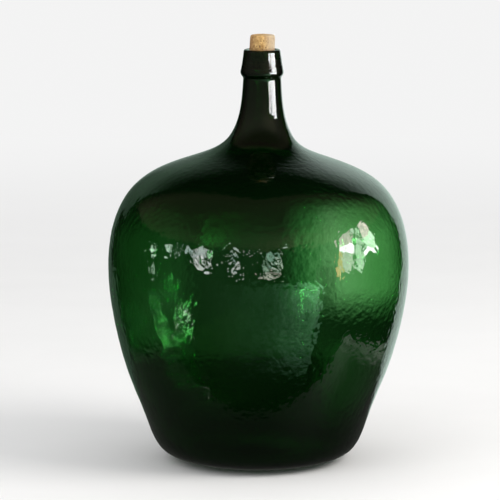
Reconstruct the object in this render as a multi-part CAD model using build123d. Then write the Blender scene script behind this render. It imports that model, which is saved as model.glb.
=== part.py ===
from build123d import *
import math
import os

# Glass carboy: a large hand-blown demijohn with an applied lip and a cork.
# Frame: millimetres, +Z up, origin on the belly's axis in the plane of the
# ring the carboy stands on. The neck leans a little towards +X, as it does on
# hand-blown glass, so every height has its own centre.

# ---------------------------------------------------------------- dimensions
# Outside of the blown body: (height, radius, sideways place of the centre).
BODY = [
    (0.0, 80.9, -0.8),
    (2.5, 92.8, -0.9),
    (5.6, 105.3, -1.0),
    (9.2, 115.0, -1.1),
    (13.9, 122.7, -1.3),
    (19.3, 128.1, -1.5),
    (26.7, 133.0, -1.7),
    (40.3, 139.1, -1.9),
    (61.0, 146.6, -2.1),
    (81.5, 154.5, -2.2),
    (101.8, 162.7, -2.1),
    (122.3, 170.4, -1.7),
    (143.3, 177.0, -1.2),
    (164.7, 182.6, -0.9),
    (186.1, 187.5, -0.5),
    (207.8, 191.4, -0.3),
    (229.6, 194.0, -0.1),
    (251.6, 195.2, 0.0),
    (273.5, 194.6, 0.0),
    (295.3, 191.8, 0.0),
    (316.6, 186.4, 0.0),
    (336.8, 177.7, 0.0),
    (355.0, 165.4, -0.1),
    (367.4, 152.0, -0.4),
    (378.9, 133.3, -1.3),
    (387.7, 113.1, -1.5),
    (395.1, 92.4, -1.1),
    (402.6, 71.8, 0.1),
    (412.6, 52.6, 2.0),
    (420.9, 43.6, 3.0),
    (429.6, 37.9, 3.6),
    (443.3, 32.1, 4.0),
    (463.9, 27.5, 4.4),
    (485.7, 25.3, 4.6),
    (499.5, 24.5, 4.7),
]
# Glass thickness at a height, square to the wall. Blown glass is thickest
# where it was least stretched: round the neck's root and in the heel and base.
WALL = [
    (0.0, 9.0),
    (14.0, 8.5),
    (40.0, 6.5),
    (90.0, 4.8),
    (180.0, 4.1),
    (300.0, 4.0),
    (355.0, 4.4),
    (385.0, 6.0),
    (402.0, 7.8),
    (420.0, 8.4),
    (440.0, 8.2),
    (465.0, 8.1),
    (499.5, 8.6),
]
FLOOR_Z = 10.0           # inside floor beside the kick-up
FLOOR_R = 84.0
KICK_RING_R = 70.0       # inner edge of the ring the carboy stands on
KICK_RISE = 14.0         # height of the kick-up at its centre
KICK_WALL = 9.0
RING_EDGE_R = 2.5        # rounding of the ring's inner edge

NECK_X = 4.7             # axis of the neck, lip and cork
NECK_END_Z = 537.0       # top of the neck, which is also the mouth
NECK_BASE_Z = 499.5      # where the lip's glass starts on the neck
NECK_BASE_R = 24.5
NECK_END_R = 20.9
THROAT_R = 15.9          # bore at NECK_BASE_Z, its narrowest
MOUTH_R = 16.4           # bore at the mouth
MOUTH_EDGE_R = 1.2

# Lip, a cone of glass wrapped round the neck: (height, radius) of its outside,
# from its lower edge on the neck up to its crown.
LIP_UNDER = [(501.2, None), (502.2, 25.5), (504.4, 27.0), (507.8, 27.9)]
LIP_FLANK = [(507.8, 27.9), (511.0, 27.45), (515.0, 26.65), (520.0, 25.8),
             (525.0, 24.95), (530.0, 24.3), (534.6, 23.85)]
LIP_CROWN_R = 22.6       # where the crown's rounding meets its flat top

CORK_TOP_Z = 556.0
CORK_BOTTOM_Z = 512.0
CORK_GAP = 0.05          # running clearance to the bore
CORK_TOP_R = 16.15
CORK_TOP_EDGE = 3.2      # worn rounding of the top edge
CORK_BOTTOM_EDGE = 1.5


# ------------------------------------------------------------------ geometry
def at(table, z):
    """Straight-line value of a (height, value) table at a height."""
    for (z0, v0), (z1, v1) in zip(table, table[1:]):
        if z <= z1:
            return v0 + (v1 - v0) * (z - z0) / (z1 - z0)
    return table[-1][1]


def disc(z, r, x):
    return Plane(origin=(x, 0, z)) * Circle(r)


def inside_stations():
    """The cavity's outline: the body's outline moved in by the wall."""
    stations = [(FLOOR_Z, FLOOR_R, BODY[0][2])]
    for i in range(1, len(BODY)):
        z, r, x = BODY[i]
        za, ra, _ = BODY[i - 1]
        zb, rb, _ = BODY[min(i + 1, len(BODY) - 1)]
        run = math.hypot(zb - za, rb - ra)
        t = at(WALL, z)
        zi = z + t * (rb - ra) / run
        ri = r - t * (zb - za) / run
        if zi > stations[-1][0] + 2.0 and zi < NECK_BASE_Z - 5.0:
            stations.append((zi, ri, x))
    stations.append((NECK_BASE_Z, THROAT_R, NECK_X))
    return stations


def bore_r(z):
    share = (z - NECK_BASE_Z) / (NECK_END_Z - NECK_BASE_Z)
    return THROAT_R + (MOUTH_R - THROAT_R) * share


def neck_r(z):
    share = (z - NECK_BASE_Z) / (NECK_END_Z - NECK_BASE_Z)
    return NECK_BASE_R + (NECK_END_R - NECK_BASE_R) * share


def upright(points_and_edges):
    """Turn a closed outline in the XZ plane about the neck's axis."""
    face = make_face(Plane.XZ * points_and_edges)
    return Pos(NECK_X, 0, 0) * revolve(face, Axis.Z)


# Kick-up in the base: the cap of a sphere, and the same cap thickened.
kick_ball_r = (KICK_RING_R ** 2 + KICK_RISE ** 2) / (2 * KICK_RISE)
kick_ball_z = KICK_RISE - kick_ball_r


def build_vessel():
    outside = loft([disc(z, r, x) for z, r, x in BODY])
    cavity = loft([disc(z, r, x) for z, r, x in inside_stations()])

    neck_h = NECK_END_Z - NECK_BASE_Z
    seat = Pos(NECK_X, 0, NECK_BASE_Z)
    up = (Align.CENTER, Align.CENTER, Align.MIN)
    neck_end = seat * Cone(NECK_BASE_R, NECK_END_R, neck_h, align=up)
    bore = seat * Cone(THROAT_R, MOUTH_R, neck_h, align=up)

    kick = Pos(BODY[0][2], 0, kick_ball_z) * Sphere(kick_ball_r)
    push = Pos(BODY[0][2], 0, kick_ball_z) * Sphere(kick_ball_r + KICK_WALL)

    cavity = cavity - push
    vessel = outside + neck_end - cavity - bore - kick

    ring_edge = (
        vessel.edges()
        .filter_by(GeomType.CIRCLE)
        .filter_by(lambda e: abs(e.radius - KICK_RING_R) < 0.3
                   and abs(e.center().Z) < 0.3)
    )
    vessel = fillet(ring_edge, RING_EDGE_R)
    mouth_edge = (
        vessel.edges()
        .filter_by(GeomType.CIRCLE)
        .filter_by(lambda e: abs(e.radius - MOUTH_R) < 0.05
                   and abs(e.center().Z - NECK_END_Z) < 0.05)
    )
    return fillet(mouth_edge, MOUTH_EDGE_R)


def build_lip():
    low_z = LIP_UNDER[0][0]
    under = [(neck_r(low_z), low_z)] + [(r, z) for z, r in LIP_UNDER[1:]]
    flank = [(r, z) for z, r in LIP_FLANK]
    outline = Spline(*(under + flank[1:]))
    crown = Spline(
        flank[-1],
        (LIP_CROWN_R, NECK_END_Z),
        tangents=[(flank[-1][0] - flank[-2][0], flank[-1][1] - flank[-2][1]),
                  (-1, 0)],
    )
    top = Line((LIP_CROWN_R, NECK_END_Z), (NECK_END_R, NECK_END_Z))
    seat = Line((NECK_END_R, NECK_END_Z), under[0])
    return upright(Curve() + [outline, crown, top, seat])


def build_cork():
    top, low = CORK_TOP_Z, CORK_BOTTOM_Z
    mouth = (bore_r(NECK_END_Z) - CORK_GAP, NECK_END_Z)
    foot = (bore_r(low + CORK_BOTTOM_EDGE) - CORK_GAP, low + CORK_BOTTOM_EDGE)
    shoulder = (CORK_TOP_R, top - CORK_TOP_EDGE)
    edges = [
        Line((0, low), (foot[0] - CORK_BOTTOM_EDGE, low)),
        Line((foot[0] - CORK_BOTTOM_EDGE, low), foot),
        Line(foot, mouth),
        Line(mouth, shoulder),
        Spline(
            shoulder,
            (CORK_TOP_R - CORK_TOP_EDGE * 0.9, top),
            tangents=[(shoulder[0] - mouth[0], shoulder[1] - mouth[1]),
                      (-1, 0.02)],
        ),
        Line((CORK_TOP_R - CORK_TOP_EDGE * 0.9, top), (0, top)),
        Line((0, top), (0, low)),
    ]
    return upright(Curve() + edges)


parts = {
    "glass_vessel": build_vessel(),
    "lip_collar": build_lip(),
    "cork_stopper": build_cork(),
}

os.makedirs("parts", exist_ok=True)
for name, part in parts.items():
    export_step(part, f"parts/{name}.step")
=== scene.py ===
import math

import bpy
import numpy as np
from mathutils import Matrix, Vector


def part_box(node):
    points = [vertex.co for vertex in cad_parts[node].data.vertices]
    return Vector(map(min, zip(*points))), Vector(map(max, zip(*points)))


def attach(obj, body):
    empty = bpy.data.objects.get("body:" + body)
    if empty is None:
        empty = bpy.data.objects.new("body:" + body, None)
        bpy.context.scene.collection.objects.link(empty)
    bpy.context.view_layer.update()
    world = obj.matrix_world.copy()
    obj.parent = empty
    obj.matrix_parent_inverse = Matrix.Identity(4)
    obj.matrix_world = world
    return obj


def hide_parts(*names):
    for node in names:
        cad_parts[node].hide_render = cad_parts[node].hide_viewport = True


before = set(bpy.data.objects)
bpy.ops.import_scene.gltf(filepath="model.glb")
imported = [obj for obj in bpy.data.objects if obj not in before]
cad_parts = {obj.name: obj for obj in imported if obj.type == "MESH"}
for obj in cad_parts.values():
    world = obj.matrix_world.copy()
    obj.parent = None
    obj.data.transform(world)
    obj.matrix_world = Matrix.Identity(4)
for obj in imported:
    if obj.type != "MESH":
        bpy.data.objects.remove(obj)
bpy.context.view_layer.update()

MM = 0.001
TAU = 2 * math.pi

# ---------------------------------------------------------------------------
# Outlines, in millimetres, the same as the CAD part: (height, radius, drift of
# the centre towards +X).
BODY = np.array([
    (0.0, 80.9, -0.8), (2.5, 92.8, -0.9), (5.6, 105.3, -1.0),
    (9.2, 115.0, -1.1), (13.9, 122.7, -1.3), (19.3, 128.1, -1.5),
    (26.7, 133.0, -1.7), (40.3, 139.1, -1.9), (61.0, 146.6, -2.1),
    (81.5, 154.5, -2.2), (101.8, 162.7, -2.1), (122.3, 170.4, -1.7),
    (143.3, 177.0, -1.2), (164.7, 182.6, -0.9), (186.1, 187.5, -0.5),
    (207.8, 191.4, -0.3), (229.6, 194.0, -0.1), (251.6, 195.2, 0.0),
    (273.5, 194.6, 0.0), (295.3, 191.8, 0.0), (316.6, 186.4, 0.0),
    (336.8, 177.7, 0.0), (355.0, 165.4, -0.1), (367.4, 152.0, -0.4),
    (378.9, 133.3, -1.3), (387.7, 113.1, -1.5), (395.1, 92.4, -1.1),
    (402.6, 71.8, 0.1), (412.6, 52.6, 2.0), (420.9, 43.6, 3.0),
    (429.6, 37.9, 3.6), (443.3, 32.1, 4.0), (463.9, 27.5, 4.4),
    (485.7, 25.3, 4.6), (499.5, 24.5, 4.7),
])
WALL_Z = [0, 14, 40, 90, 180, 300, 355, 385, 402, 420, 440, 465, 499.5]
WALL_T = [9.0, 8.5, 6.5, 4.8, 4.1, 4.0, 4.4, 6.0, 7.8, 8.4, 8.2, 8.1, 8.6]
NECK_X = 4.7
MOUTH_Z = 537.0
LIP = np.array([  # height, radius, from the neck up to the crown
    (500.6, 24.45), (501.3, 24.65), (502.0, 25.4), (503.0, 26.2),
    (504.4, 27.05), (505.8, 27.6), (507.4, 27.88), (509.2, 27.75),
    (511.0, 27.4), (515.0, 26.62), (520.0, 25.75), (525.0, 24.95),
    (530.0, 24.3), (534.2, 23.85), (535.6, 23.55), (536.55, 22.95),
    (537.0, 22.0),
])
MOUTH = np.array([  # over the rim and down into the bore
    (537.0, 19.2), (536.95, 18.3), (536.6, 17.3), (535.8, 16.6),
    (534.4, 16.37), (530.0, 16.3), (520.0, 16.17), (508.0, 16.02),
    (499.5, 15.9),
])
RING_R = 70.0
KICK_RISE = 14.0
KICK_WALL = 9.0
FLOOR_Z = 10.0


# ---------------------------------------------------------------------------
# Small numeric kit: a cubic spline and seeded gradient noise.
class Spline:
    """Natural cubic spline through points, by distance along them."""

    def __init__(self, points):
        p = np.asarray(points, float)
        self.s = np.r_[0, np.cumsum(np.linalg.norm(np.diff(p, axis=0), axis=1))]
        n, h = len(p), np.diff(self.s)
        a = np.zeros((n, n))
        b = np.zeros_like(p)
        a[0, 0] = a[-1, -1] = 1
        for i in range(1, n - 1):
            a[i, i - 1], a[i, i], a[i, i + 1] = h[i - 1], 2 * (h[i - 1] + h[i]), h[i]
            b[i] = 6 * ((p[i + 1] - p[i]) / h[i] - (p[i] - p[i - 1]) / h[i - 1])
        self.m, self.p, self.h = np.linalg.solve(a, b), p, h
        self.length = self.s[-1]

    def __call__(self, t):
        t = np.clip(np.asarray(t, float), 0, self.length)
        i = np.clip(np.searchsorted(self.s, t, side="right") - 1, 0, len(self.h) - 1)
        h = self.h[i][:, None]
        u = ((t - self.s[i]) / self.h[i])[:, None]
        a, b = 1 - u, u
        return (a * self.p[i] + b * self.p[i + 1]
                + ((a ** 3 - a) * self.m[i] + (b ** 3 - b) * self.m[i + 1]) * h * h / 6)


_rng = np.random.default_rng(34)
_PERM = _rng.permutation(256)
_PERM = np.r_[_PERM, _PERM, _PERM]
_GRAD = _rng.normal(size=(256, 3))
_GRAD /= np.linalg.norm(_GRAD, axis=1)[:, None]


def noise(p, offset=0.0):
    """Gradient noise, about -0.7 to 0.7, for points in cell units."""
    p = np.asarray(p, float) + offset
    i = np.floor(p).astype(int)
    f = p - i
    w = f * f * f * (f * (f * 6 - 15) + 10)
    i &= 255
    out = 0
    for dx in (0, 1):
        for dy in (0, 1):
            for dz in (0, 1):
                g = _GRAD[_PERM[_PERM[_PERM[(i[:, 0] + dx) & 255] + ((i[:, 1] + dy) & 255)]
                                + ((i[:, 2] + dz) & 255)]]
                d = ((f[:, 0] - dx) * g[:, 0] + (f[:, 1] - dy) * g[:, 1]
                     + (f[:, 2] - dz) * g[:, 2])
                out = out + d * (w[:, 0] if dx else 1 - w[:, 0]) \
                    * (w[:, 1] if dy else 1 - w[:, 1]) * (w[:, 2] if dz else 1 - w[:, 2])
    return out


def smooth(x, a, b):
    t = np.clip((np.asarray(x, float) - a) / (b - a), 0, 1)
    return t * t * (3 - 2 * t)


def mesh_object(name, verts, faces, smooth_shade=True):
    me = bpy.data.meshes.new(name)
    me.from_pydata(verts.tolist() if hasattr(verts, "tolist") else verts, [], faces)
    me.update()
    if smooth_shade:
        me.polygons.foreach_set("use_smooth", [True] * len(me.polygons))
    ob = bpy.data.objects.new(name, me)
    bpy.context.scene.collection.objects.link(ob)
    return ob


# ---------------------------------------------------------------------------
# The blown glass: one closed skin, out over the body, neck and lip, over the
# rim, and back down inside to the push-up in the floor.
def wall_at(z):
    return np.interp(z, WALL_Z, WALL_T)


def rings_from(points, step, skip_first=False):
    sp = Spline(points)
    n = max(2, int(round(sp.length / step)) + 1)
    q = sp(np.linspace(0, sp.length, n))
    return q[1:] if skip_first else q


def glass_rings():
    """Rows of (height, radius, centre x, kind, segments)."""
    rows = []

    def add(q, kind, seg):
        for z, r, x in q:
            rows.append((z, r, x, kind, seg))

    # Underside: from the crown of the kick-up down to the ring it stands on.
    ball = (RING_R ** 2 + KICK_RISE ** 2) / (2 * KICK_RISE)
    rr = np.array([4, 8, 13, 19, 25, 31, 37, 43, 49, 55, 60, 64, 67.0])
    zz = np.sqrt(ball ** 2 - rr ** 2) + KICK_RISE - ball
    bx = BODY[0][2]
    add([(z, r, bx) for z, r in zip(zz, rr)], "kick", 192)
    add([(0.75, 69.0, bx), (0.3, 70.3, bx), (0.06, 71.8, bx), (0.0, 73.6, bx),
         (0.0, 76.5, bx)], "ring", 192)
    # Heel, body and shoulder, then neck.
    sp = Spline(BODY)
    cut = sp.s[28]  # the root of the neck
    n = int(round(cut / 3.8))
    add(sp(np.linspace(0, cut, n + 1)), "body", 384)
    q = sp(np.linspace(cut, sp.length, int((sp.length - cut) / 3.6) + 1))[1:]
    add(q, "neck", 192)
    lip = rings_from(np.c_[LIP, np.full(len(LIP), NECK_X)], 1.25)
    add(lip[1:], "lip", 192)
    add(rings_from(np.c_[MOUTH, np.full(len(MOUTH), NECK_X)], 2.6), "mouth", 192)
    # Inside: the outline moved in by the wall, from the throat downwards.
    z, r, x = BODY.T
    dz, dr = np.gradient(z), np.gradient(r)
    run = np.hypot(dz, dr)
    t = wall_at(z)
    zi, ri = z + t * dr / run, r - t * dz / run
    keep = (zi < 492) & (zi > 13.0)
    inner = np.c_[zi, ri, x][keep][::-1]
    inner = np.vstack([[499.5, 15.9, NECK_X], inner,
                       [FLOOR_Z + 0.3, 88.0, bx], [FLOOR_Z + 0.6, 80.0, bx]])
    add(rings_from(inner, 4.7, True), "inside", 192)
    big = ball + KICK_WALL
    rr = np.array([74, 68, 61, 54, 47, 40, 33, 26, 19, 12, 5.0])
    dome = np.sqrt(big ** 2 - rr ** 2) + KICK_RISE - ball
    floor = np.maximum(dome, FLOOR_Z + 0.8) + 0.9 * np.exp(-((rr - 70) / 6.0) ** 2)
    add([(z, r, bx) for z, r in zip(floor, rr)], "floor", 192)
    return rows


def build_glass():
    rows = glass_rings()
    zs = np.array([q[0] for q in rows])
    rs = np.array([q[1] for q in rows])
    # Normal of the outline at each ring, pointing out of the glass.
    dz, dr = np.gradient(zs), np.gradient(rs)
    run = np.hypot(dz, dr)
    nr, nz = dz / run, -dr / run

    verts, first = [], []
    total = 0
    for k, (z, r, x, kind, seg) in enumerate(rows):
        a = np.arange(seg) * TAU / seg
        ca, sa = np.cos(a), np.sin(a)
        p = np.c_[x + r * ca, r * sa, np.full(seg, z)]
        n = np.c_[nr[k] * ca, nr[k] * sa, np.full(seg, nz[k])]
        verts.append((p, n, kind, k))
        first.append(total)
        total += seg
    P = np.vstack([v[0] for v in verts])
    N = np.vstack([v[1] for v in verts])
    kinds = np.concatenate([[v[2]] * len(v[0]) for v in verts])
    inside = np.isin(kinds, ["inside", "floor"])
    outside = np.isin(kinds, ["body", "neck"])
    z = P[:, 2]

    # Hand-blown surface. The wall ripples as one sheet: long, shallow waves all
    # over and a hammered ripple that fades over the shoulder and is weaker on the
    # upper right. Both skins follow it, so the wall keeps its thickness.
    x = P[:, 0]
    low = (1 - 0.78 * smooth(z, 300, 372)) \
        * (1 - 0.72 * smooth(x, 40, 120) * smooth(z, 190, 250))
    still = smooth(z, 1.0, 16.0)
    shape = np.array([1.0, 1.0, 1.3])
    Q = P.copy()  # the inner skin reads the ripple straight across the wall
    radial = np.hypot(P[:, 0], P[:, 1])
    shift = np.where(inside, 1 + wall_at(z) / np.maximum(radial, 25.0), 1.0)
    Q[:, :2] *= shift[:, None]
    ripple = (0.28 * noise(Q / 60.0 * shape, 3.1)
              + 0.19 * noise(Q / 22.0 * shape, 17.7) * low
              + 0.25 * noise(Q / 8.5 * shape, 41.3) * low)
    d = np.zeros(len(P))
    d += outside * still * ripple
    quiet = smooth(z, 14.0, 45.0) * (1 - smooth(z, 425.0, 470.0))
    d -= np.isin(kinds, ["inside"]) * quiet * ripple * 0.92
    # Thickness swells and thin places belong to the inside skin.
    sway = (0.85 * noise(P / 120.0, 71.9) + 0.30 * noise(P / 47.0, 5.5)
            + 0.05 * noise(P / 21.0 * shape, 23.3))
    t = wall_at(z) * 0.36
    d += inside * sway * np.minimum(t, 1.6) * smooth(z, 12.0, 40.0) \
        * (1 - smooth(z, 440.0, 480.0))
    # Tool marks on the lip and rim.
    lip = np.isin(kinds, ["lip"])
    ang = np.arctan2(P[:, 1], P[:, 0] - NECK_X)
    ring = np.c_[np.cos(ang) * 2.2, np.sin(ang) * 2.2, z / 9.0]
    d += lip * smooth(z, 500.8, 503.0) * (
        0.16 * noise(ring, 9.0) + 0.08 * noise(ring * np.array([2.6, 2.6, 0.7]), 55.0))
    P = P + N * d[:, None]

    faces = []
    for k in range(len(rows) - 1):
        sa, sb = rows[k][4], rows[k + 1][4]
        a0, b0 = first[k], first[k + 1]
        if sa == sb:
            for j in range(sa):
                j2 = (j + 1) % sa
                faces.append((a0 + j, a0 + j2, b0 + j2, b0 + j))
        elif sa == 2 * sb:
            for j in range(sb):
                j2 = (j + 1) % sb
                m = a0 + 2 * j
                faces.append((m, m + 1, b0 + j))
                faces.append((m + 1, b0 + j2, b0 + j))
                faces.append((m + 1, a0 + (2 * j + 2) % sa, b0 + j2))
        else:
            for j in range(sa):
                j2 = (j + 1) % sa
                m = b0 + 2 * j
                faces.append((a0 + j, m + 1, m))
                faces.append((a0 + j, a0 + j2, m + 1))
                faces.append((a0 + j2, b0 + (2 * j + 2) % sb, m + 1))
    verts = P.tolist()
    bx = BODY[0][2]
    c0 = len(verts)
    verts.append([bx, 0.0, KICK_RISE])
    seg = rows[0][4]
    for j in range(seg):
        faces.append((c0, (j + 1) % seg + first[0], j + first[0]))
    c1 = len(verts)
    verts.append([bx, 0.0, KICK_RISE + KICK_WALL])
    seg = rows[-1][4]
    for j in range(seg):
        faces.append((c1, first[-1] + j, first[-1] + (j + 1) % seg))
    ob = mesh_object("blown_glass", np.array(verts) * MM, faces)
    skin = ob.data.attributes.new("hammered", "FLOAT", "POINT")
    skin.data.foreach_set("value", np.r_[outside * (0.14 + 0.86 * low), 0, 0].astype(np.float32))
    return ob


glass = build_glass()


def signed_volume(ob):
    me = ob.data
    me.calc_loop_triangles()
    co = np.array([v.co for v in me.vertices])
    t = np.array([l.vertices for l in me.loop_triangles])
    a, b, c = co[t[:, 0]], co[t[:, 1]], co[t[:, 2]]
    return float(np.einsum("ij,ij->i", a, np.cross(b, c)).sum() / 6)


print("glass: litres", signed_volume(glass) * 1000, "tris", len(glass.data.loop_triangles))


# ---------------------------------------------------------------------------
# Materials
def nodes_of(mat):
    mat.use_nodes = True
    nt = mat.node_tree
    nt.nodes.clear()
    return nt


def node(nt, kind, **inputs):
    n = nt.nodes.new(kind)
    for k, v in inputs.items():
        n.inputs[k.replace("_", " ")].default_value = v
    return n


def math_node(nt, op, a, b=None, c=None, clamp=False):
    n = nt.nodes.new("ShaderNodeMath")
    n.operation, n.use_clamp = op, clamp
    for i, v in enumerate((a, b, c)):
        if v is None:
            continue
        if isinstance(v, (int, float)):
            n.inputs[i].default_value = v
        else:
            nt.links.new(v, n.inputs[i])
    return n.outputs[0]


def ramp(nt, x, a, b, invert=False):
    """0 to 1 as x goes from a to b, eased."""
    n = nt.nodes.new("ShaderNodeMapRange")
    n.interpolation_type = "SMOOTHSTEP"
    n.inputs["From Min"].default_value = a
    n.inputs["From Max"].default_value = b
    n.inputs["To Min"].default_value = 1.0 if invert else 0.0
    n.inputs["To Max"].default_value = 0.0 if invert else 1.0
    nt.links.new(x, n.inputs["Value"])
    return n.outputs[0]


def mul(nt, *xs):
    out = xs[0]
    for x in xs[1:]:
        out = math_node(nt, "MULTIPLY", out, x)
    return out


def glass_material():
    mat = bpy.data.materials.new("bottle_green_glass")
    nt = nodes_of(mat)
    out = nt.nodes.new("ShaderNodeOutputMaterial")
    bsdf = nt.nodes.new("ShaderNodeBsdfPrincipled")
    bsdf.inputs["Base Color"].default_value = (1, 1, 1, 1)
    bsdf.inputs["Transmission Weight"].default_value = 1.0
    bsdf.inputs["IOR"].default_value = 1.51
    geo = nt.nodes.new("ShaderNodeNewGeometry")
    fine = nt.nodes.new("ShaderNodeTexNoise")
    fine.inputs["Scale"].default_value = 140.0
    fine.inputs["Detail"].default_value = 0.9
    nt.links.new(geo.outputs["Position"], fine.inputs["Vector"])
    skin = nt.nodes.new("ShaderNodeAttribute")
    skin.attribute_name = "hammered"
    bump = nt.nodes.new("ShaderNodeBump")
    bump.inputs["Distance"].default_value = 0.00046
    height = math_node(nt, "ADD", mul(nt, skin.outputs["Fac"], 0.70), 0.30)
    nt.links.new(height, bump.inputs["Strength"])
    nt.links.new(fine.outputs["Fac"], bump.inputs["Height"])
    nt.links.new(bump.outputs["Normal"], bsdf.inputs["Normal"])
    film = nt.nodes.new("ShaderNodeTexNoise")
    film.inputs["Scale"].default_value = 22.0
    film.inputs["Detail"].default_value = 4.0
    nt.links.new(geo.outputs["Position"], film.inputs["Vector"])
    r = nt.nodes.new("ShaderNodeMapRange")
    r.inputs["From Min"].default_value = 0.45
    r.inputs["From Max"].default_value = 0.75
    r.inputs["To Min"].default_value = 0.0
    r.inputs["To Max"].default_value = 0.012
    nt.links.new(film.outputs["Fac"], r.inputs["Value"])
    nt.links.new(r.outputs[0], bsdf.inputs["Roughness"])
    nt.links.new(bsdf.outputs[0], out.inputs["Surface"])
    vol = nt.nodes.new("ShaderNodeVolumeAbsorption")
    vol.inputs["Color"].default_value = (0.009, 0.597, 0.055, 1)
    vol.inputs["Density"].default_value = 345.0
    nt.links.new(vol.outputs[0], out.inputs["Volume"])
    return mat


glass.data.materials.append(glass_material())
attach(glass, "carboy")
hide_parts("glass_vessel", "lip_collar")


# ---------------------------------------------------------------------------
# The cork
def build_cork():
    lo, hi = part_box("cork_stopper")
    top, low = hi.z * 1000, lo.z * 1000
    r_mouth, r_foot = 16.35, 16.05
    outline = np.array([
        (low, 14.6), (low + 0.45, 15.35), (low + 1.5, r_foot),
        (low + 12, r_foot + 0.13), (537.0, r_mouth), (545.0, 16.3),
        (top - 3.6, 16.1), (top - 1.8, 15.75), (top - 0.7, 15.0),
        (top - 0.15, 13.9), (top, 12.6)])
    sp = Spline(outline)
    n = 100
    q = sp(np.linspace(0, sp.length, n))
    seg = 256
    pts, faces = [], []
    a = np.arange(seg) * TAU / seg
    for z, r in q:
        pts.append(np.c_[r * np.cos(a), r * np.sin(a), np.full(seg, z)])
    caps_low = [11, 7, 3]
    caps_top = [10, 7.5, 5, 2.5]
    rows = [np.c_[c * np.cos(a), c * np.sin(a), np.full(seg, low)] for c in caps_low][::-1] \
        + pts + [np.c_[c * np.cos(a), c * np.sin(a), np.full(seg, top)] for c in caps_top]
    P = np.vstack(rows)
    # Bark pores: dark pits that run across the cork, with a few deep ones.
    rng = np.random.default_rng(7)
    rad = np.hypot(P[:, 0], P[:, 1])
    pit = np.zeros(len(P))
    deep = np.zeros(len(P))
    for i in range(170):
        z0 = rng.uniform(low + 2, top + 0.6)
        a0 = rng.uniform(0, TAU)
        r0 = 16.2 if z0 < top - 1.5 else rng.uniform(1, 15.0)
        c = np.array([r0 * math.cos(a0), r0 * math.sin(a0), min(z0, top)])
        sz = np.array([1.0, 1.0, rng.uniform(0.5, 1.5)]) * rng.uniform(0.35, 1.0)
        e = (((P - c) / sz) ** 2).sum(1)
        w = np.exp(-e * 1.4)
        pit = np.maximum(pit, w)
        deep += w * rng.uniform(0.2, 0.55)
    grain = noise(P / np.array([5.0, 5.0, 9.0]), 2.0) + 0.5 * noise(P / 2.1, 8.0)
    exposed = smooth(P[:, 2], 537.3, 538.5)
    inward = np.clip(deep, 0, 0.6) * (0.25 + 0.75 * exposed) + 0.16 * (grain + 0.6) * exposed + 0.03
    flat = smooth(P[:, 2], top - 0.5, top - 0.05)
    radial = np.c_[P[:, 0] / np.maximum(rad, 1e-6), P[:, 1] / np.maximum(rad, 1e-6),
                   np.zeros(len(P))]
    N = radial * (1 - flat)[:, None] + np.array([0, 0, 1.0]) * flat[:, None]
    P = P - N * inward[:, None]
    # It sits a little crooked in the mouth.
    tip = math.radians(2.2) * exposed * smooth(P[:, 2], 536.0, 542.0)
    P[:, 0] += (P[:, 2] - 537.0) * np.tan(tip)
    P[:, 0] += NECK_X
    m = len(rows)
    for k in range(m - 1):
        for j in range(seg):
            j2 = (j + 1) % seg
            faces.append((k * seg + j, k * seg + j2, (k + 1) * seg + j2, (k + 1) * seg + j))
    verts = P.tolist()
    c0 = len(verts)
    verts.append([NECK_X, 0, low])
    verts.append([NECK_X + 0.8, 0, P[-seg:, 2].mean()])
    for j in range(seg):
        j2 = (j + 1) % seg
        faces.append((c0, j2, j))
        faces.append((c0 + 1, (m - 1) * seg + j, (m - 1) * seg + j2))
    ob = mesh_object("cork", np.array(verts) * MM, faces)
    at = ob.data.attributes.new("pore", "FLOAT", "POINT")
    at.data.foreach_set("value", np.r_[pit, 0, 0].astype(np.float32))
    return ob


cork = build_cork()


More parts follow.
